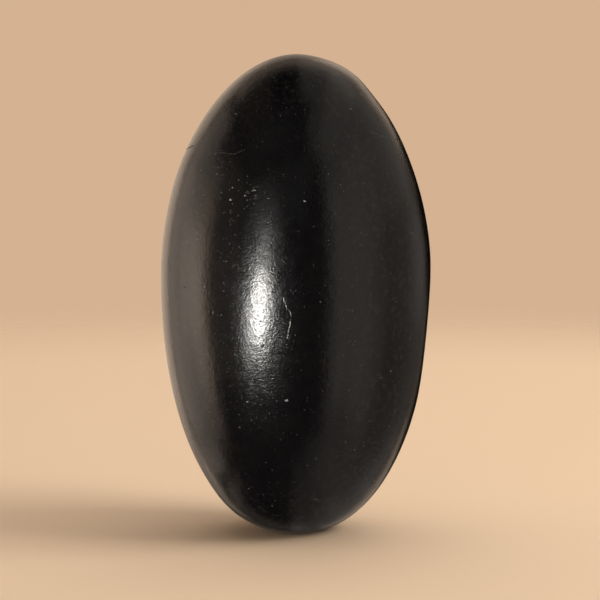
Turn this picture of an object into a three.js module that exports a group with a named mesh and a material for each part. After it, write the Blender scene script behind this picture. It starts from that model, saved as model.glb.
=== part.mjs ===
// A shiva lingam stone: one tall egg of black river stone that stands on a small worn flat.
// Units are millimetres, +Z is up, and the ground is at height 0.
// Azimuths are in degrees, counterclockwise seen from above: 0 is the right side (+X), -90 the front (-Y).

import * as THREE from 'three';
import { mergeVertices } from 'three/addons/utils/BufferGeometryUtils.js';

// Driving dimensions of the egg
const STONE_HEIGHT = 100;
const WIDEST_HEIGHT = 54;
const HALF_WIDTH = 28.35;
const HALF_DEPTH = 27.2;
const FOOT_RADIUS = 6;

// How full the egg is above and below its widest height: 2 is a true ellipse, more is blunter
const UPPER_FULLNESS = 1.91;
const LOWER_FULLNESS = 2.19;

// Broad faces that the river wore a little flatter than the egg.
// A face leans back by its tilt (it looks up when positive), and lies at its distance from the stone's heart.
const WORN_FACES = [
  { azimuth: 0, tilt: -5.5, distance: 28.4 },
  { azimuth: 62, tilt: 9, distance: 27.65 },
  { azimuth: 118, tilt: -14, distance: 29.2 },
  { azimuth: 146, tilt: 20, distance: 30.3 },
];
// How sharply a worn face meets the egg: a higher number is a crisper edge
const FACE_CRISPNESS = 90;
// A ray that leaves a face at a flatter angle than this (as a cosine) never meets it
const FACE_GRAZING_COSINE = 0.3;

// Low swells that stand proud of the egg, each with its rise and how far it spreads up and around
const SWELLS = [
  { azimuth: 0, height: 96.7, rise: 1.1, spreadUp: 3.5, spreadAround: 40 },
  { azimuth: 0, height: 88.5, rise: 0.27, spreadUp: 7, spreadAround: 40 },
  { azimuth: 180, height: 77.6, rise: 0.15, spreadUp: 8, spreadAround: 40 },
  { azimuth: 180, height: 4, rise: 0.44, spreadUp: 5, spreadAround: 40 },
  { azimuth: 105, height: 34, rise: 0.35, spreadUp: 12, spreadAround: 30 },
];
// A swell fades out on the last part of the crown, where the radius is under this share of the full one
const CROWN_FADE_SHARE = 0.25;

// A point nearer to the stone's axis than this is on it, and stays there
const ON_AXIS_RADIUS = 1e-6;

// Fineness of the solid
const RINGS_BELOW = 24;
const RINGS_ABOVE = 24;
const SEGMENTS = 64;

// Where the egg would end below the ground, had its tip not been worn off to the foot
const BURIED_DEPTH = WIDEST_HEIGHT
  / (1 - (FOOT_RADIUS / HALF_WIDTH) ** LOWER_FULLNESS) ** (1 / LOWER_FULLNESS);
const FOOT_ANGLE = Math.acos(WIDEST_HEIGHT / BURIED_DEPTH);

// The egg's radius at a height, as a share of its full radius
function eggShare(height) {
  const above = height >= WIDEST_HEIGHT;
  const reach = above ? STONE_HEIGHT - WIDEST_HEIGHT : BURIED_DEPTH;
  const fullness = above ? UPPER_FULLNESS : LOWER_FULLNESS;
  const climb = Math.min(1, Math.abs(height - WIDEST_HEIGHT) / reach);
  return (1 - climb ** fullness) ** (1 / fullness);
}

// The egg is a little wider than deep
function fullRadius(azimuth) {
  return 1 / Math.hypot(Math.cos(azimuth) / HALF_WIDTH, Math.sin(azimuth) / HALF_DEPTH);
}

// How far out a worn face is at a height and azimuth
function faceRadius(face, height, azimuth) {
  const tilt = THREE.MathUtils.degToRad(face.tilt);
  const turn = azimuth - THREE.MathUtils.degToRad(face.azimuth);
  const facing = Math.cos(turn) * Math.cos(tilt);
  if (facing < FACE_GRAZING_COSINE) {
    return Infinity;
  }
  return (face.distance - (height - WIDEST_HEIGHT) * Math.sin(tilt)) / facing;
}

// How far a swell lifts the surface at a height and azimuth
function swellRise(swell, height, azimuth) {
  const turn = azimuth - THREE.MathUtils.degToRad(swell.azimuth);
  const around = Math.atan2(Math.sin(turn), Math.cos(turn)) / THREE.MathUtils.degToRad(swell.spreadAround);
  const up = (height - swell.height) / swell.spreadUp;
  return swell.rise * Math.exp(-around * around - up * up);
}

// The stone's radius: the egg, softly held in by its worn faces, with its swells added
function stoneRadius(height, azimuth) {
  const share = eggShare(height);
  const egg = share * fullRadius(azimuth);
  let crowding = 1;
  for (const face of WORN_FACES) {
    crowding += (egg / faceRadius(face, height, azimuth)) ** FACE_CRISPNESS;
  }
  let radius = egg * crowding ** (-1 / FACE_CRISPNESS);
  const fade = Math.min(1, share / CROWN_FADE_SHARE);
  for (const swell of SWELLS) {
    radius += fade * swellRise(swell, height, azimuth);
  }
  return radius;
}

// The plain egg's outline, from the middle of the foot up to the middle of the crown
function eggOutline() {
  const points = [new THREE.Vector2(0, 0)];
  for (let ring = 0; ring < RINGS_BELOW; ring += 1) {
    const angle = THREE.MathUtils.lerp(FOOT_ANGLE, Math.PI / 2, ring / RINGS_BELOW);
    const height = ring === 0 ? 0 : WIDEST_HEIGHT - BURIED_DEPTH * Math.cos(angle);
    points.push(new THREE.Vector2(HALF_WIDTH * eggShare(height), height));
  }
  for (let ring = 0; ring < RINGS_ABOVE; ring += 1) {
    const angle = (Math.PI / 2) * (ring / RINGS_ABOVE);
    const height = WIDEST_HEIGHT + (STONE_HEIGHT - WIDEST_HEIGHT) * Math.sin(angle);
    points.push(new THREE.Vector2(HALF_WIDTH * eggShare(height), height));
  }
  points.push(new THREE.Vector2(0, STONE_HEIGHT));
  return points;
}

// The outline is spun into a closed egg, and then every point off the axis moves to the stone's radius
function stoneGeometry() {
  const spun = new THREE.LatheGeometry(eggOutline(), SEGMENTS);
  spun.rotateX(Math.PI / 2);
  spun.deleteAttribute('uv');
  spun.deleteAttribute('normal');
  const geometry = mergeVertices(spun);
  const position = geometry.getAttribute('position');
  for (let index = 0; index < position.count; index += 1) {
    const x = position.getX(index);
    const y = position.getY(index);
    const height = Math.max(0, position.getZ(index));
    const spunRadius = Math.hypot(x, y);
    const onAxis = spunRadius < ON_AXIS_RADIUS;
    const stretch = onAxis ? 0 : stoneRadius(height, Math.atan2(y, x)) / spunRadius;
    position.setXYZ(index, x * stretch, y * stretch, height);
  }
  centreOverOrigin(geometry);
  return geometry;
}

// The middle of the stone's width and depth is set over the origin
function centreOverOrigin(geometry) {
  geometry.computeBoundingBox();
  const middle = geometry.boundingBox.getCenter(new THREE.Vector3());
  geometry.translate(-middle.x, -middle.y, 0);
}

const blackStone = new THREE.MeshStandardMaterial({ color: 0x1b1a18, roughness: 0.33, metalness: 0 });

const stone = new THREE.Mesh(stoneGeometry(), blackStone);
stone.name = 'stone';

const group = new THREE.Group();
group.add(stone);

export default group;
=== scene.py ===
import math
import random

import bpy
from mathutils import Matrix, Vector, kdtree, noise


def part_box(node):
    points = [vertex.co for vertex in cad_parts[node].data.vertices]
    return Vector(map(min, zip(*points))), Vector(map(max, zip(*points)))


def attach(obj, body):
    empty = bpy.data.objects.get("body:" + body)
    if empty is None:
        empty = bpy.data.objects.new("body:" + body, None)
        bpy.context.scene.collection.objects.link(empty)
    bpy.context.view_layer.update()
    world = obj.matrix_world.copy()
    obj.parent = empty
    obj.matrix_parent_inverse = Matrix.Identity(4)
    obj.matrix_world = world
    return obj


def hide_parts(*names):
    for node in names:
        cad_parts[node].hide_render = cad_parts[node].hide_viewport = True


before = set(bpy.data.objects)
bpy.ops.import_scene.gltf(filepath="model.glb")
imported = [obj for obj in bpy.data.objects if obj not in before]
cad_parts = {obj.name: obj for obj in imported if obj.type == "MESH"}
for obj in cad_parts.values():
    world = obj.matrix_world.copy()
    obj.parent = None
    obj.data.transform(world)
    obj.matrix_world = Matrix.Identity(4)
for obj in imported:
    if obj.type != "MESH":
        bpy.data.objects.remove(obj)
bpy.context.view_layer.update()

MM = 0.001

STONE_LOW, STONE_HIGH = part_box("stone")
STONE_MIDDLE = (STONE_LOW + STONE_HIGH) / 2
STONE_SIZE = STONE_HIGH - STONE_LOW

# How the copy of the solid is made whole and smooth, before the skin is laid on it
WELD_REACH = 0.001 * MM
QUAD_FACE_TURN = math.radians(30)
QUAD_SHAPE_TURN = math.radians(40)
GUIDE_SMOOTHINGS = 3
# How the skin's faces are laid out: cuts across the first cube, then halvings of every face
FIRST_CUTS = 3
SKIN_HALVINGS = 4
# The faces are halved again near every mark, each time over a smaller reach beyond the mark's rim,
# and then twice more near the placed pits and the lines
MARK_REACHES = (0.7 * MM, 0.35 * MM)
FINE_REACHES = (0.15 * MM, 0.04 * MM)

# Slow swells left by the river and the hand polish
SWELL_SPREAD = 7 * MM
SWELL_HEIGHT = 0.05 * MM
# The foot keeps its true flat: nothing is moved below this height
STILL_FOOT = 1.2 * MM

# Marks are placed by turn to the right of the front in degrees, and by height on the stone in mm
# Pits that hold pale dust: turn, height, width in mm, share of dust
DUSTY_PITS = (
    (-4, 31, 0.65, 1.3),
    (-31, 71, 0.6, 1.2),
    (4, 71, 0.5, 1.4),
    (-20, 73, 0.6, 0.6),
    (40.5, 89, 0.45, 1.5),
    (-42, 76, 0.55, 0.7),
    (-22.5, 30.5, 0.32, 0.6),
    (46.5, 36, 0.35, 0.9),
    (-31, 73.5, 0.35, 0.6),
    (-28.5, 75, 0.35, 0.5),
    (-54, 53, 0.35, 0.7),
    (-43, 88, 0.4, 0.4),
    (-43.5, 91, 0.35, 0.6),
    (-24, 72, 0.38, 1.3),
    (-24, 74.5, 0.3, 0.6),
    (10.5, 51, 0.35, 0.4),
    (-12.5, 71.5, 0.36, 1.5),
    (55, 44, 0.3, 1.3),
    (18, 68.5, 0.3, 0.9),
    (59.5, 64, 0.3, 0.7),
    (27, 45.5, 0.3, 0.4),
    (-19, 72, 0.3, 0.6),
    (-44, 17, 0.35, 0.4),
    (-33, 48, 0.3, 0.5),
    (-16, 30, 0.3, 0.7),
    (-20, 26, 0.3, 0.4),
    (55, 83.5, 0.3, 0.6),
    (54, 27, 0.3, 0.8),
    (-28, 25, 0.3, 0.4),
    (-4, 42.5, 0.35, 0.7),
)
# Pits worn clean, that stay dark: turn, height, width in mm
CLEAN_PITS = (
    (-15, 47, 0.4),
    (-14, 42, 0.5),
    (-17, 39, 0.55),
    (1, 65, 0.4),
    (8, 66, 0.4),
    (-27, 58, 0.5),
    (-54, 53, 0.5),
    (-24, 75, 0.4),
    (-40, 75.5, 0.8),
    (-44, 77, 0.5),
    (-20, 73.5, 0.6),
    (-28, 25, 0.5),
)
# Fine lines, each a run of turns and heights
SCRATCH_HEAD = ((-5.3, 52), (-5, 51.2), (-4.3, 50.6), (-3.8, 49.7), (-2.6, 49.3), (-1.9, 48.2))
SCRATCH_TAIL = ((-2.3, 47.4), (-2.5, 46.2), (-3.1, 45.2), (-3.6, 43.6))
EDGE_CRACK = ((-99, 79.2), (-91, 80.1), (-84, 80.3), (-75, 81), (-70.5, 81.2))
HAIRLINE = ((-48, 80), (-41, 80.2), (-34, 80), (-28, 81))
THUMBNAIL_NICK = ((58.5, 64), (61, 63.8), (63, 63), (60.5, 62.8))
PALE_VEIN = ((47, 84.5), (55, 83.5), (64, 83), (70, 82))
# Each line with its width in mm, its depth in mm and its share of dust
LINES = (
    (SCRATCH_HEAD, 0.17, 0.025, 0.42),
    (SCRATCH_TAIL, 0.2, 0.035, 0.85),
    (EDGE_CRACK, 0.36, 0.09, 0.15),
    (HAIRLINE, 0.2, 0.025, 0.12),
    (THUMBNAIL_NICK, 0.35, 0.08, 0.45),
    (PALE_VEIN, 0.3, 0.0, 0.25),
)
# A line is made of many marks, so many to its width, each a share of the line's own width and dust,
# and each set off the run by up to a share of the width
MARKS_TO_A_WIDTH = 3
LINE_WIDTH_SHARES = (0.6, 1.1)
LINE_DUST_SHARES = (0.1, 1.4)
LINE_DRIFT = 0.25
# Patches of short scuffs: turn, height, spread round the stone in degrees, count
SCUFFED_PATCHES = (
    (-21, 72, 2.6, 14),
    (-29, 67.5, 1.8, 8),
    (-12, 68, 2.0, 6),
    (-30, 60, 1.8, 5),
    (-8, 58, 2.5, 6),
    (-20, 34, 2.6, 6),
    (-40, 78, 2.2, 6),
    (-60, 45, 4, 8),
)
# A degree of turn is about this many mm of the stone's face, so that a patch spreads as far up as round
MM_TO_A_DEGREE = 0.5
# A scuff's least and most half length in mm, and its width in mm, depth in mm and share of dust
SCUFF_HALF_LENGTHS = (0.15, 0.5)
SCUFF_CUT = (0.16, 0.012, 0.25)

# A pit's depth against its width, and that of a pit worn clean
PIT_DEPTH = 0.14
CLEAN_PIT_DEPTH = 0.16
# A placed pit is a main hollow and some smaller ones beside it, as shares of its width and dust
MAIN_HOLLOW = 0.6
SMALL_HOLLOWS = 3
SMALL_HOLLOW_WIDTHS = (0.25, 0.5)
SMALL_HOLLOW_DUSTS = (0.4, 1.0)
SIDEWAYS_DRIFT = 0.6
UPWARD_DRIFT = 0.3

# Small pits scattered all over: heights and widths in mm. A high power makes the broad ones rare.
SCATTERED_PITS = 110
SCATTER_SEED = 4
SCATTER_MIDDLE_HEIGHT = 50
SCATTER_HEIGHT_REACH = 49
SCATTER_LEAST_WIDTH = 0.24
SCATTER_ADDED_WIDTH = 0.4
SCATTER_WIDTH_POWER = 5
SCATTER_DUSTS = (0, 0, 0.12, 0.3)

# A mark's rim is ragged and its dust is patchy: how much each wavers, and over what distance
RAGGED_SHARE = 0.9
RAGGED_SPREAD = 0.3 * MM
PATCHY_MIDDLE = 0.95
PATCHY_SHARE = 1.1
PATCHY_SPREAD = 0.24 * MM

# The stone's colours
NEAR_BLACK = (0.0033, 0.0031, 0.0039)
BROWN_PATINA = (0.0045, 0.0043, 0.0042)
OLIVE_PATINA = (0.0042, 0.0045, 0.0039)
# A dull film, partly real tone and partly painted sheen: it is laid where the side light bands are
# mirrored and kept off the front
DULL_FILM_AND_PAINTED_SHEEN = (0.021, 0.0197, 0.0175)
PALE_MINERAL = (0.22, 0.22, 0.215)
PALE_DUST = (0.34, 0.345, 0.345)
# Cloudy patches: how far they spread, where their pattern is moved to, and where they begin and are full
BROWN_PATCHES = {"spread": 9 * MM, "shift": (0.02, 0.01, 0.03), "edge": (0.48, 0.72)}
OLIVE_PATCHES = {"spread": 5 * MM, "shift": (0.07, 0.04, 0.01), "edge": (0.5, 0.75)}
DULL_PATCHES = {"spread": 3 * MM, "shift": (0.01, 0.09, 0.05), "edge": (0.3, 0.7)}
# The film's patches, which paint sheen on the sides where the light bands are mirrored
FILM_AND_SHEEN_PATCHES = {"spread": 1.1 * MM, "shift": (0.03, 0.06, 0.02), "edge": (0.48, 0.8), "detail": 4.0}
PATCH_DETAIL = 3.0
# How strongly the finer clouds show in a pattern of clouds
CLOUD_ROUGHNESS = 0.6
SOFT_ROUGHNESS = 0.5
# A tall patch of the front is left bare of the film, so that it stays near-black where the dark band is
# mirrored: its middle, how tall it is, and its reach
BARE_FRONT_MIDDLE = (-0.005, -0.027, 0.046)
BARE_FRONT_TALLNESS = 2.6
BARE_FRONT_REACH = (0.014, 0.024)
# Mineral flecks: how far apart, from where a fleck fades to where it is full, and which cells have one
FLECK_SPACING = 0.6 * MM
FLECK_EDGE = (0.17, 0.1)
FLECKED_CELLS = (0.88, 1.0)
# The polish: how rough its glossiest and dullest patches are
POLISH_ROUGHNESS = (0.17, 0.215)
STONE_IOR = 1.5

# The fine relief of the polished face: sizes in metres, heights and depths in mm
GRAIN_SIZE = 0.42 * MM
GRAIN_HEIGHT = 0.026
GRAIN_DETAIL = 1.0
RIPPLE_SIZE = 1.2 * MM
RIPPLE_HEIGHT = 0.022
RIPPLE_DETAIL = 0.0
WORN_PIT_SPACING = 0.36 * MM
WORN_PIT_DETAIL = 2.0
WORN_PIT_EDGE = (0.27, 0.38)
WORN_PIT_DEPTH = 0.01
STROKE_WIDTH = 0.25 * MM
STROKE_DETAIL = 1.0
STROKE_STRETCH = (0.3, 0.3, 1)
STROKE_EDGE = (0.62, 0.74)
STROKE_DEPTH = 0.005
# The hand polish went two ways: each way's lean in degrees, and where its pattern is moved to
RISING_STROKES = (38, (0.01, 0.05, 0.03))
FALLING_STROKES = (-31, (0.06, 0.02, 0.04))

# The places of a colour Mix node's sockets
MIX_SHARE, MIX_UNDER, MIX_OVER, MIX_RESULT = 0, 6, 7, 2

# How far the room's walls stand from the stone's middle, in metres
WALL_DISTANCE = 1
# The way to each wall, and how its panels are turned to face the stone
WALLS = {
    "front": ((0, -1, 0), (math.pi / 2, 0, 0)),
    "back": ((0, 1, 0), (math.pi / 2, 0, math.pi)),
    "right": ((1, 0, 0), (math.pi / 2, 0, math.pi / 2)),
    "left": ((-1, 0, 0), (math.pi / 2, 0, -math.pi / 2)),
    "top": ((0, 0, 1), (0, 0, 0)),
    "under": ((0, 0, -1), (math.pi, 0, 0)),
}
PEACH = (1.11, 1.0, 0.9)
AMBER = (1.22, 1.0, 0.82)
SAND = (1.29, 1.0, 0.77)
RUST = (1.5, 0.98, 0.5)
CREAM = (1.03, 1.0, 0.955)
# Each panel hangs a little behind the one before, so that where they overlap their glow adds up
PANEL_GAP = 0.002
# Light panels: wall, two corners in metres from the wall's middle, glow, tint
PANELS = (
    ("right", (-1.0, -1.0), (1.0, 1.0), 0.19, PEACH),
    ("right", (0.4, -0.2), (1.0, 0.12), 0.07, PEACH),
    ("right", (-1.0, -1.0), (-0.2, 1.0), 0.17, PEACH),
    ("right", (-1.0, -0.7), (-0.45, 0.9), 0.16, PEACH),
    ("right", (-0.35, 0.25), (1.0, 1.0), 0.18, PEACH),
    ("right", (-0.2, -0.2), (1.0, 0.25), 0.07, PEACH),
    ("right", (0.5, -1.0), (1.0, -0.6), 0.1, PEACH),
    ("front", (0.5, -1.0), (1.0, 1.0), 0.29, PEACH),
    ("front", (0.61, -0.75), (1.0, 0.75), 0.26, PEACH),
    ("top", (0.2, -1.0), (1.0, -0.2), 0.22, PEACH),
    ("top", (0.05, -0.2), (1.0, 1.0), 0.24, PEACH),
    ("top", (0.45, -1.0), (1.0, 1.0), 0.18, PEACH),
    ("under", (0.2, -1.0), (1.0, 1.0), 0.21, PEACH),
    ("under", (-0.05, -0.8), (0.2, 1.0), 0.14, PEACH),
    ("under", (0.4, -1.0), (1.0, 1.0), 0.08, PEACH),
    ("under", (0.85, 0.3), (1.0, 1.0), 0.16, PEACH),
    ("under", (0.35, 0.05), (0.6, 0.4), 0.06, PEACH),
    ("right", (0.0, -1.0), (0.7, -0.85), 0.15, PEACH),
    ("back", (-1.0, -0.25), (-0.05, 0.1), 0.5, SAND),
    ("back", (-1.0, 0.1), (0.2, 1.0), 0.5, SAND),
    ("back", (-1.0, -0.4), (-0.2, 0.6), 0.24, SAND),
    ("back", (-1.0, 0.4), (-0.7, 1.0), 0.1, SAND),
    ("back", (-1.0, -1.0), (-0.75, -0.65), 0.3, SAND),
    ("back", (-1.0, -0.5), (-0.6, 0.2), 0.2, SAND),
    ("back", (0.2, 0.25), (0.7, 1.0), 0.65, SAND),
    ("back", (0.15, 0.4), (0.6, 1.0), 0.28, SAND),
    ("back", (0.7, 0.3), (1.0, 1.0), 0.45, SAND),
    ("back", (0.2, -1.0), (0.9, -0.45), 0.45, SAND),
    ("back", (-1.0, -1.0), (-0.4, -0.25), 0.35, SAND),
    ("back", (-1.0, -0.8), (-0.7, -0.3), 0.25, SAND),
    ("back", (-0.4, -1.0), (0.2, -0.3), 0.08, SAND),
    ("back", (0.6, -0.45), (1.0, -0.15), 0.16, SAND),
    ("back", (0.86, -0.15), (1.0, 0.12), 0.28, SAND),
    ("back", (0.65, 0.12), (1.0, 0.3), 0.14, SAND),
    ("top", (-1.0, 0.4), (0.05, 1.0), 0.17, SAND),
    ("top", (-1.0, 0.65), (0.6, 1.0), 0.2, SAND),
    ("top", (0.05, 0.4), (1.0, 1.0), 0.13, SAND),
    ("top", (-1.0, -1.0), (-0.4, 0.4), 0.06, SAND),
    ("top", (-0.4, -1.0), (0.05, -0.25), 0.035, CREAM),
    ("top", (-1.0, 0.5), (-0.8, 1.0), 0.15, SAND),
    ("top", (-0.9, -1.0), (-0.1, -0.55), 0.03, CREAM),
    ("front", (-0.26, 0.38), (0.25, 1.0), 0.09, CREAM),
    ("left", (-0.24, -0.8), (1.0, 0.6), 0.53, AMBER),
    ("left", (-0.24, -0.6), (-0.06, 0.4), 0.33, RUST),
    ("left", (-0.06, -0.6), (1.0, 0.4), 0.33, AMBER),
    ("left", (-0.2, -0.45), (0.04, 0.0), 0.42, AMBER),
    ("left", (-0.18, -0.26), (0.45, 0.2), 0.56, AMBER),
    ("left", (-0.18, -0.42), (0.14, -0.26), 0.5, AMBER),
    ("left", (0.14, -0.42), (0.55, -0.26), 0.14, AMBER),
    ("left", (0.1, -1.0), (1.0, -0.87), 0.35, AMBER),
    ("under", (-1.0, 0.0), (-0.86, 0.6), 0.25, AMBER),
    ("left", (-0.4, 0.65), (0.6, 1.0), 0.05, AMBER),
    ("left", (0.6, 0.4), (1.0, 1.0), 0.08, AMBER),
    ("left", (-0.1, -0.25), (0.2, 0.15), 0.42, AMBER),
    ("left", (0.15, 0.6), (1.0, 1.0), 0.42, AMBER),
    ("left", (0.2, -1.0), (1.0, -0.8), 0.42, AMBER),
    ("left", (-1.0, -0.5), (-0.24, 0.8), 0.15, AMBER),
    ("front", (-1.0, 0.35), (-0.3, 0.8), 0.12, AMBER),
    ("under", (-1.0, 0.3), (-0.7, 1.0), 0.12, AMBER),
    ("under", (-1.0, 0.5), (0.1, 1.0), 0.09, AMBER),
)

# The key light is a few small panels on the front wall that all lean one way.
# Each has the place of its middle, across and up, its width, its height and its glow.
KEY_LEAN = math.radians(-30)
KEY_PANELS = (
    (-0.57, -0.19, 0.18, 0.2, 58),
    (-0.45, -0.13, 0.1, 0.12, 36),
    (-0.36, -0.16, 0.1, 0.16, 3.5),
    (-0.53, -0.02, 0.08, 0.12, 28),
    (-0.5, 0.07, 0.15, 0.1, 9),
    (-0.48, 0.24, 0.16, 0.13, 3.2),
    (-0.36, 0.2, 0.13, 0.16, 1.9),
    (-0.6, 0.35, 0.5, 0.6, 0.2),
    (-0.77, -0.27, 0.18, 0.14, 13.5),
    (-0.88, -0.38, 0.14, 0.14, 8),
)
# Two lamps that light the floor alone: name, place, the way it faces, side and glow
FLOOR_LAMPS = (
    ("floor_wash", (0.75, -0.12, 0.55), (-0.75, 0.12, -0.55), 0.5, 7),
    ("floor_overhead_wash", (0.0, 0.2, 1.0), (0, -0.2, -1), 1.2, 1.1),
)
FLOOR_LAMP_TINT = (1.0, 0.96, 0.9)

# The floor: its size, its finish, and from where to where it fades out
FLOOR_RADIUS = 0.5
FLOOR_CORNERS = 96
FLOOR_COLOUR = (0.8, 0.6, 0.42)
FLOOR_ROUGHNESS = 0.8
FLOOR_FADE = (0.26, 0.46)
BACKDROP_COLOUR = (0.66, 0.445, 0.287)

# The camera: how far it looks down, how far it stands from what it looks at, and its lens in mm
CAMERA_RISE = math.radians(6)
CAMERA_DISTANCE = 524.5 * MM
CAMERA_TARGET = Vector((0.9, 0, 48.6)) * MM
LENS_LENGTH = 150
SENSOR_WIDTH = 36


def nothing_selected():
    """Leaves edit mode and lets go of everything."""
    if bpy.context.object and bpy.context.object.mode != "OBJECT":
        bpy.ops.object.mode_set(mode="OBJECT")
    bpy.ops.object.select_all(action="DESELECT")


def take_up(piece):
    """Makes one piece the only one selected."""
    nothing_selected()
    bpy.context.view_layer.objects.active = piece
    piece.select_set(True)


def apply_modifier(piece, kind, **settings):
    """Adds a modifier with its settings and applies it at once."""
    take_up(piece)
    modifier = piece.modifiers.new(kind.title(), kind)
    for name, value in settings.items():
        setattr(modifier, name, value)
    bpy.ops.object.modifier_apply(modifier=modifier.name)


def smoothed_solid():
    """A fine, smooth copy of the solid, for the skin to be laid on."""
    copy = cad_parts["stone"].copy()
    copy.data = copy.data.copy()
    copy.name = "stone_guide"
    copy.parent = None
    bpy.context.scene.collection.objects.link(copy)
    take_up(copy)
    bpy.ops.object.mode_set(mode="EDIT")
    bpy.ops.mesh.select_all(action="SELECT")
    bpy.ops.mesh.remove_doubles(threshold=WELD_REACH)
    bpy.ops.mesh.tris_convert_to_quads(face_threshold=QUAD_FACE_TURN, shape_threshold=QUAD_SHAPE_TURN)
    bpy.ops.object.mode_set(mode="OBJECT")
    apply_modifier(copy, "SUBSURF", levels=GUIDE_SMOOTHINGS, render_levels=GUIDE_SMOOTHINGS)
    return copy


def egg_ball():
    """A tall ball of even four-sided faces, stretched to the size of the stone."""
    nothing_selected()
    bpy.ops.mesh.primitive_cube_add(size=2, location=(0, 0, 0))
    ball = bpy.context.object
    ball.name = "black_stone"
    bpy.ops.object.mode_set(mode="EDIT")
    bpy.ops.mesh.select_all(action="SELECT")
    bpy.ops.mesh.bisect(plane_co=(0, 0, 0), plane_no=(0, 0, 1))
    bpy.ops.mesh.select_all(action="SELECT")
    bpy.ops.mesh.subdivide(number_cuts=FIRST_CUTS)
    bpy.ops.transform.tosphere(value=1, center_override=(0, 0, 0))
    for _ in range(SKIN_HALVINGS):
        bpy.ops.mesh.select_all(action="SELECT")
        bpy.ops.mesh.subdivide(number_cuts=1)
        bpy.ops.transform.tosphere(value=1, center_override=(0, 0, 0))
    bpy.ops.object.mode_set(mode="OBJECT")
    reach = max(vertex.co.z for vertex in ball.data.vertices)
    bpy.ops.object.mode_set(mode="EDIT")
    bpy.ops.mesh.select_all(action="SELECT")
    stretch = [side / 2 / reach for side in STONE_SIZE]
    bpy.ops.transform.resize(value=stretch, center_override=(0, 0, 0))
    bpy.ops.transform.translate(value=STONE_MIDDLE)
    bpy.ops.object.mode_set(mode="OBJECT")
    return ball


def on_stone(guide, turn, height):
    """The place on the stone's face at a turn from the front and a height in mm."""
    way = Vector((math.sin(math.radians(turn)), -math.cos(math.radians(turn)), 0))
    start = Vector((0, 0, height * MM)) + way
    _, place, _, _ = guide.ray_cast(start, -way)
    return place


class Mark:
    """A place on the stone that is hollowed out a little."""

    def __init__(self, place, width, depth, dust=0.0):
        self.place = place
        self.half = width * MM / 2
        self.depth = depth * MM
        self.dust = dust


def line_marks(places, width, depth, dust, dice):
    """Marks set close together along a run of places, uneven as a worn scratch is."""
    marks = []
    step = width * MM / MARKS_TO_A_WIDTH
    for start, end in zip(places, places[1:]):
        count = max(1, math.ceil((end - start).length / step))
        for index in range(count):
            drift = Vector([dice.uniform(-LINE_DRIFT, LINE_DRIFT) * width * MM for _ in range(3)])
            place = start.lerp(end, index / count) + drift
            mark_width = width * dice.uniform(*LINE_WIDTH_SHARES)
            mark_dust = dust * dice.uniform(*LINE_DUST_SHARES)
            marks.append(Mark(place, mark_width, depth, mark_dust))
    return marks


def scuff_marks(guide, dice):
    """Short scuffs that lie every way within their patches."""
    marks = []
    for turn, height, spread, count in SCUFFED_PATCHES:
        side = Vector((math.cos(math.radians(turn)), math.sin(math.radians(turn)), 0))
        for _ in range(count):
            scuff_turn = turn + dice.gauss(0, spread)
            scuff_height = height + dice.gauss(0, spread * MM_TO_A_DEGREE)
            middle = on_stone(guide, scuff_turn, scuff_height)
            lean = dice.uniform(0, 2 * math.pi)
            half = dice.uniform(*SCUFF_HALF_LENGTHS) * MM
            way = half * (math.cos(lean) * side + math.sin(lean) * Vector((0, 0, 1)))
            marks += line_marks([middle - way, middle + way], *SCUFF_CUT, dice)
    return marks


def groove_marks(guide, dice):
    """The scratch, the cracks, the thumbnail nick, the vein and the scuffs."""
    marks = []
    for run, width, depth, dust in LINES:
        places = [on_stone(guide, turn, height) for turn, height in run]
        marks += line_marks(places, width, depth, dust, dice)
    return marks + scuff_marks(guide, dice)


def uneven_pit(place, width, depth, dust, dice):
    """One pit, drawn out sideways: a main hollow with smaller ones beside it."""
    side = Vector((-place.y, place.x, 0)).normalized()
    marks = [Mark(place, width * MAIN_HOLLOW, depth, dust)]
    for _ in range(SMALL_HOLLOWS):
        sideways = dice.uniform(-SIDEWAYS_DRIFT, SIDEWAYS_DRIFT) * side
        drift = sideways + Vector((0, 0, dice.uniform(-UPWARD_DRIFT, UPWARD_DRIFT)))
        small_width = width * dice.uniform(*SMALL_HOLLOW_WIDTHS)
        small_dust = dust * dice.uniform(*SMALL_HOLLOW_DUSTS)
        marks.append(Mark(place + width * MM * drift, small_width, depth, small_dust))
    return marks


def placed_marks(guide, dice):
    """The pits that have their own place."""
    marks = []
    for turn, height, width, dust in DUSTY_PITS:
        marks += uneven_pit(on_stone(guide, turn, height), width, PIT_DEPTH * width, dust, dice)
    for turn, height, width in CLEAN_PITS:
        marks += uneven_pit(on_stone(guide, turn, height), width, CLEAN_PIT_DEPTH * width, 0, dice)
    return marks


def scattered_marks(guide, dice):
    """Small pits all over the stone, mostly fine, a few broad."""
    marks = []
    for _ in range(SCATTERED_PITS):
        turn = dice.uniform(0, 360)
        height = SCATTER_MIDDLE_HEIGHT + SCATTER_HEIGHT_REACH * dice.uniform(-1, 1)
        width = SCATTER_LEAST_WIDTH + SCATTER_ADDED_WIDTH * dice.random() ** SCATTER_WIDTH_POWER
        dust = dice.choice(SCATTER_DUSTS)
        marks.append(Mark(on_stone(guide, turn, height), width, PIT_DEPTH * width, dust))
    return marks


def tree_of(marks):
    """A search tree of the marks' places."""
    tree = kdtree.KDTree(len(marks))
    for index, mark in enumerate(marks):
        tree.insert(mark.place, index)
    tree.balance()
    return tree


def halve_faces_near(skin, marks, reach):
    """Halves the faces that lie within a reach of a mark's rim."""
    tree = tree_of(marks)
    nothing_selected()
    for edge in skin.data.edges:
        edge.select = False
    for vertex in skin.data.vertices:
        vertex.select = False
    for face in skin.data.polygons:
        _, index, distance = tree.find(face.center)
        face.select = distance < marks[index].half + reach
    take_up(skin)
    bpy.ops.object.mode_set(mode="EDIT")
    bpy.ops.mesh.select_mode(type="FACE")
    bpy.ops.mesh.subdivide(number_cuts=1, ngon=False)
    bpy.ops.object.mode_set(mode="OBJECT")


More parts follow.
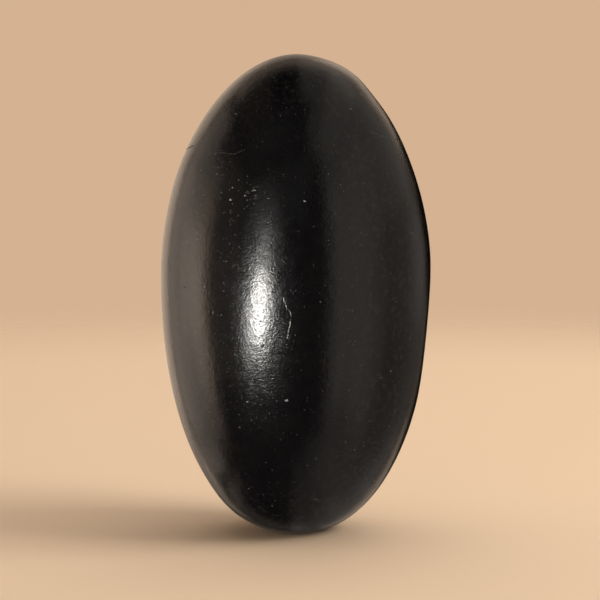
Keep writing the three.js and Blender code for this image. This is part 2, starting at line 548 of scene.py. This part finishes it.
def weigh_marks(skin, marks):
    """Weights every skin point by how deep the marks hollow it, and notes the dust that lies there."""
    tree = tree_of(marks)
    deepest = max(mark.depth for mark in marks)
    group = skin.vertex_groups.new(name="marks")
    dust = skin.data.attributes.new("pit_dust", "FLOAT", "POINT")
    for vertex in skin.data.vertices:
        _, index, distance = tree.find(vertex.co)
        mark = marks[index]
        ragged = distance * (1 + RAGGED_SHARE * noise.noise(vertex.co / RAGGED_SPREAD))
        if ragged < mark.half:
            share = 1 - (ragged / mark.half) ** 2
            group.add([vertex.index], share * mark.depth / deepest, "REPLACE")
            patchy = max(0, PATCHY_MIDDLE + PATCHY_SHARE * noise.noise(vertex.co / PATCHY_SPREAD))
            dust.data[vertex.index].value = share * mark.dust * patchy
    return deepest


def weigh_swells(skin):
    """Weights the skin for the slow swells, which fade out at the foot."""
    group = skin.vertex_groups.new(name="swells")
    for vertex in skin.data.vertices:
        share = min(1, max(0, (vertex.co.z - STILL_FOOT) / STILL_FOOT))
        group.add([vertex.index], share, "REPLACE")


def lay_on(skin, guide):
    """Lays every point of the skin on the smoothed solid."""
    apply_modifier(skin, "SHRINKWRAP", target=guide, wrap_method="NEAREST_SURFACEPOINT")


def split_to_triangles(skin):
    """Splits every face along its better diagonal, so that none is left thin."""
    take_up(skin)
    bpy.ops.object.mode_set(mode="EDIT")
    bpy.ops.mesh.select_all(action="SELECT")
    bpy.ops.mesh.quads_convert_to_tris(quad_method="BEAUTY", ngon_method="BEAUTY")
    bpy.ops.object.mode_set(mode="OBJECT")


def stone_skin():
    """The whole stone: a fine skin laid on the solid, with its swells and its marks."""
    guide = smoothed_solid()
    skin = egg_ball()
    lay_on(skin, guide)
    dice = random.Random(SCATTER_SEED)
    placed = placed_marks(guide, dice)
    pits = placed + scattered_marks(guide, dice)
    grooves = groove_marks(guide, dice)
    for reach in MARK_REACHES:
        halve_faces_near(skin, pits + grooves, reach)
    for reach in FINE_REACHES:
        halve_faces_near(skin, placed + grooves, reach)
    lay_on(skin, guide)
    bpy.data.objects.remove(guide)
    weigh_swells(skin)
    rolls = bpy.data.textures.new("river_swells", "CLOUDS")
    rolls.noise_scale = SWELL_SPREAD
    apply_modifier(skin, "DISPLACE", texture=rolls, strength=SWELL_HEIGHT, vertex_group="swells")
    deepest = weigh_marks(skin, pits + grooves)
    apply_modifier(skin, "DISPLACE", strength=-deepest, mid_level=0, vertex_group="marks")
    split_to_triangles(skin)
    bpy.ops.object.shade_smooth()
    return skin


def node(tree, kind, **inputs):
    """Adds a shader node and sets its named inputs."""
    added = tree.nodes.new(kind)
    for name, value in inputs.items():
        added.inputs[name.replace("_", " ")].default_value = value
    return added


def wire(tree, source, socket, target, name):
    """Joins an output to an input."""
    tree.links.new(source.outputs[socket], target.inputs[name])


def clouds(tree, size, detail, roughness):
    """A pattern of clouds of a given size."""
    return node(tree, "ShaderNodeTexNoise", Scale=1 / size, Detail=detail, Roughness=roughness)


def ramp(tree, edge, ends=(0, 1)):
    """A value that climbs from one end to the other as it crosses an edge."""
    low, high = edge
    start, end = ends
    return node(tree, "ShaderNodeMapRange", From_Min=low, From_Max=high, To_Min=start, To_Max=end)


def mottle(tree, place, spread, shift, edge, detail=PATCH_DETAIL):
    """A soft cloudy share from 0 to 1, in patches of a given spread."""
    moved = node(tree, "ShaderNodeMapping", Location=shift)
    cloud = clouds(tree, spread, detail, CLOUD_ROUGHNESS)
    share = ramp(tree, edge)
    share.interpolation_type = "SMOOTHSTEP"
    wire(tree, place, "Object", moved, "Vector")
    wire(tree, moved, "Vector", cloud, "Vector")
    wire(tree, cloud, "Fac", share, "Value")
    return share


def tinted(tree, under, share, share_socket, colour):
    """Lays a colour over what is under it, as far as a share says."""
    mix = tree.nodes.new("ShaderNodeMix")
    mix.data_type = "RGBA"
    mix.inputs[MIX_OVER].default_value = (*colour, 1)
    wire(tree, share, share_socket, mix, MIX_SHARE)
    if isinstance(under, tuple):
        mix.inputs[MIX_UNDER].default_value = (*under, 1)
    else:
        wire(tree, under, MIX_RESULT, mix, MIX_UNDER)
    return mix


def product(tree, first, first_socket, second, second_socket):
    """One share times another."""
    both = tree.nodes.new("ShaderNodeMath")
    both.operation = "MULTIPLY"
    wire(tree, first, first_socket, both, 0)
    wire(tree, second, second_socket, both, 1)
    return both


def film_and_painted_sheen_share(tree, place):
    """Where a thin dull film lies, partly real tone and partly painted sheen: patchy, with none on the
    front, so that it lies only where the side light bands are mirrored.
    """
    patches = mottle(tree, place, **FILM_AND_SHEEN_PATCHES)
    squeezed = node(tree, "ShaderNodeMapping", Scale=(1, 1, 1 / BARE_FRONT_TALLNESS))
    middle = tree.nodes.new("ShaderNodeVectorMath")
    middle.operation = "DISTANCE"
    middle.inputs[1].default_value = (*BARE_FRONT_MIDDLE[:2], BARE_FRONT_MIDDLE[2] / BARE_FRONT_TALLNESS)
    kept = ramp(tree, BARE_FRONT_REACH)
    wire(tree, place, "Object", squeezed, "Vector")
    wire(tree, squeezed, "Vector", middle, 0)
    wire(tree, middle, "Value", kept, "Value")
    return product(tree, patches, "Result", kept, "Result")


def fleck_share(tree, place):
    """Where a few fine mineral flecks lie: most cells of the pattern have none."""
    cells = node(tree, "ShaderNodeTexVoronoi", Scale=1 / FLECK_SPACING)
    spot = ramp(tree, FLECK_EDGE)
    parts = tree.nodes.new("ShaderNodeSeparateColor")
    chosen = ramp(tree, FLECKED_CELLS)
    wire(tree, place, "Object", cells, "Vector")
    wire(tree, cells, "Distance", spot, "Value")
    wire(tree, cells, "Color", parts, "Color")
    wire(tree, parts, "Red", chosen, "Value")
    return product(tree, spot, "Result", chosen, "Result")


def rolling(tree, place, size, height, detail, roughness):
    """An even rolling relief of a size and a height."""
    cloud = clouds(tree, size, detail, roughness)
    rise = tree.nodes.new("ShaderNodeMath")
    rise.operation = "MULTIPLY"
    rise.inputs[1].default_value = height
    wire(tree, place, "Object", cloud, "Vector")
    wire(tree, cloud, "Fac", rise, 0)
    return rise


def worn_pits(tree, place):
    """Small uneven pits between the mineral grains, in mm below the polished face."""
    cloud = clouds(tree, WORN_PIT_SPACING, WORN_PIT_DETAIL, CLOUD_ROUGHNESS)
    pit = ramp(tree, WORN_PIT_EDGE, (-WORN_PIT_DEPTH, 0))
    pit.interpolation_type = "SMOOTHSTEP"
    wire(tree, place, "Object", cloud, "Vector")
    wire(tree, cloud, "Fac", pit, "Value")
    return pit


def polish_strokes(tree, place, lean, shift):
    """Short fine strokes left by the hand polish, in mm below the polished face."""
    moved = node(tree, "ShaderNodeMapping", Location=shift, Scale=STROKE_STRETCH)
    moved.inputs["Rotation"].default_value = (0, math.radians(lean), 0)
    cloud = clouds(tree, STROKE_WIDTH, STROKE_DETAIL, SOFT_ROUGHNESS)
    stroke = ramp(tree, STROKE_EDGE, (0, -STROKE_DEPTH))
    wire(tree, place, "Object", moved, "Vector")
    wire(tree, moved, "Vector", cloud, "Vector")
    wire(tree, cloud, "Fac", stroke, "Value")
    return stroke


def total(tree, first, *others):
    """The sum of some values."""
    for other in others:
        addition = tree.nodes.new("ShaderNodeMath")
        addition.operation = "ADD"
        wire(tree, first, 0, addition, 0)
        wire(tree, other, 0, addition, 1)
        first = addition
    return first


def pebbled_relief(tree, place):
    """The fine relief of the polished face, in mm: grain, ripple, worn pits and polish strokes."""
    grain = rolling(tree, place, GRAIN_SIZE, GRAIN_HEIGHT, GRAIN_DETAIL, CLOUD_ROUGHNESS)
    ripple = rolling(tree, place, RIPPLE_SIZE, RIPPLE_HEIGHT, RIPPLE_DETAIL, SOFT_ROUGHNESS)
    rising = polish_strokes(tree, place, *RISING_STROKES)
    falling = polish_strokes(tree, place, *FALLING_STROKES)
    return total(tree, grain, ripple, worn_pits(tree, place), rising, falling)


def polished_black_stone():
    """Near-black river stone, hand polished to a pebbled satin."""
    material = bpy.data.materials.new("polished_black_stone")
    material.use_nodes = True
    tree = material.node_tree
    shader = tree.nodes["Principled BSDF"]
    shader.inputs["IOR"].default_value = STONE_IOR
    place = tree.nodes.new("ShaderNodeTexCoord")

    brown = mottle(tree, place, **BROWN_PATCHES)
    olive = mottle(tree, place, **OLIVE_PATCHES)
    dust = tree.nodes.new("ShaderNodeAttribute")
    dust.attribute_name = "pit_dust"
    colour = tinted(tree, NEAR_BLACK, brown, "Result", BROWN_PATINA)
    colour = tinted(tree, colour, olive, "Result", OLIVE_PATINA)
    # The film is partly painted sheen where the side light bands are mirrored; the front is left
    # near-black
    colour = tinted(tree, colour, film_and_painted_sheen_share(tree, place), "Value", DULL_FILM_AND_PAINTED_SHEEN)
    colour = tinted(tree, colour, fleck_share(tree, place), "Value", PALE_MINERAL)
    colour = tinted(tree, colour, dust, "Fac", PALE_DUST)
    wire(tree, colour, MIX_RESULT, shader, "Base Color")

    dullness = mottle(tree, place, **DULL_PATCHES)
    glossiest, dullest = POLISH_ROUGHNESS
    dullness.inputs["To Min"].default_value = glossiest
    dullness.inputs["To Max"].default_value = dullest
    wire(tree, dullness, "Result", shader, "Roughness")

    bump = node(tree, "ShaderNodeBump", Strength=1.0, Distance=1 * MM)
    wire(tree, pebbled_relief(tree, place), "Value", bump, "Height")
    wire(tree, bump, "Normal", shader, "Normal")
    return material


def light_panel(name, place, turn, width, height, glow, tint):
    """A soft light panel that glows evenly."""
    nothing_selected()
    bpy.ops.object.light_add(type="AREA", location=place, rotation=turn)
    lamp = bpy.context.object
    lamp.name = name
    lamp.data.shape = "RECTANGLE"
    lamp.data.size = width
    lamp.data.size_y = height
    lamp.data.energy = glow * math.pi * width * height
    lamp.data.color = tint
    lamp.visible_camera = False
    return lamp


def wall_panel(number, wall, low, high, glow, tint):
    """A light panel on a wall of the room, between two corners told from the wall's middle."""
    way, turn = WALLS[wall]
    across, up = (low[0] + high[0]) / 2, (low[1] + high[1]) / 2
    if wall in ("top", "under"):
        along = Vector((across, up, 0))
    elif wall in ("front", "back"):
        along = Vector((across, 0, up))
    else:
        along = Vector((0, across, up))
    distance = WALL_DISTANCE + number * PANEL_GAP
    place = STONE_MIDDLE + distance * Vector(way) + along
    name = f"{wall}_panel_{number}"
    return light_panel(name, place, turn, high[0] - low[0], high[1] - low[1], glow, tint)


def room_light():
    """The light of the room round the stone: large soft panels on its walls."""
    for number, (wall, low, high, glow, tint) in enumerate(PANELS):
        wall_panel(number, wall, low, high, glow, tint)


def key_light():
    """The bright window light from the front left, in small panels that stand before the room's own."""
    for number, (across, up, width, height, glow) in enumerate(KEY_PANELS, start=-len(KEY_PANELS)):
        low = (across - width / 2, up - height / 2)
        high = (across + width / 2, up + height / 2)
        lamp = wall_panel(number, "front", low, high, glow, CREAM)
        lamp.rotation_euler.rotate_axis("Z", KEY_LEAN)


def floor_light(floor):
    """The light that falls on the floor alone."""
    only_floor = bpy.data.collections.new("lit_by_the_wash")
    only_floor.objects.link(floor)
    for name, place, facing, side, glow in FLOOR_LAMPS:
        turn = Vector(facing).to_track_quat("-Z", "Y").to_euler()
        lamp = light_panel(name, place, turn, side, side, glow, FLOOR_LAMP_TINT)
        lamp.light_linking.receiver_collection = only_floor


def floor_finish():
    """A matt pale finish that fades out round the floor's edge."""
    material = bpy.data.materials.new("pale_floor")
    material.use_nodes = True
    tree = material.node_tree
    shader = tree.nodes["Principled BSDF"]
    shader.inputs["Base Color"].default_value = (*FLOOR_COLOUR, 1)
    shader.inputs["Roughness"].default_value = FLOOR_ROUGHNESS
    place = tree.nodes.new("ShaderNodeTexCoord")
    length = tree.nodes.new("ShaderNodeVectorMath")
    length.operation = "LENGTH"
    fade = ramp(tree, FLOOR_FADE)
    fade.interpolation_type = "SMOOTHSTEP"
    clear = tree.nodes.new("ShaderNodeBsdfTransparent")
    mix = tree.nodes.new("ShaderNodeMixShader")
    wire(tree, place, "Object", length, 0)
    wire(tree, length, "Value", fade, "Value")
    wire(tree, fade, "Result", mix, "Fac")
    wire(tree, shader, "BSDF", mix, 1)
    wire(tree, clear, "BSDF", mix, 2)
    wire(tree, mix, "Shader", tree.nodes["Material Output"], "Surface")
    return material


def pale_floor():
    """A plain pale floor that fades softly into the backdrop."""
    nothing_selected()
    bpy.ops.mesh.primitive_circle_add(
        vertices=FLOOR_CORNERS, radius=FLOOR_RADIUS, fill_type="NGON", location=(0, 0, 0)
    )
    floor = bpy.context.object
    floor.name = "floor"
    floor.data.materials.append(floor_finish())
    floor.visible_glossy = False
    floor.visible_shadow = False
    return floor


def backdrop():
    """A plain warm backdrop that the stone doesn't mirror."""
    world = bpy.data.worlds.new("room")
    bpy.context.scene.world = world
    world.use_nodes = True
    world.node_tree.nodes["Background"].inputs["Color"].default_value = (*BACKDROP_COLOUR, 1)
    world.cycles_visibility.glossy = False
    world.cycles_visibility.diffuse = False


def camera():
    """A long lens, set a little above the stone's middle."""
    nothing_selected()
    away = Vector((0, -math.cos(CAMERA_RISE), math.sin(CAMERA_RISE)))
    place = CAMERA_TARGET + CAMERA_DISTANCE * away
    bpy.ops.object.camera_add(location=place, rotation=(math.pi / 2 - CAMERA_RISE, 0, 0))
    eye = bpy.context.object
    eye.data.lens = LENS_LENGTH
    eye.data.sensor_width = SENSOR_WIDTH
    bpy.context.scene.camera = eye


stone = stone_skin()
stone.data.materials.clear()
stone.data.materials.append(polished_black_stone())
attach(stone, "root")
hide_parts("stone")

backdrop()
floor = pale_floor()
room_light()
key_light()
floor_light(floor)
camera()
bpy.context.scene.view_settings.view_transform = "Standard"
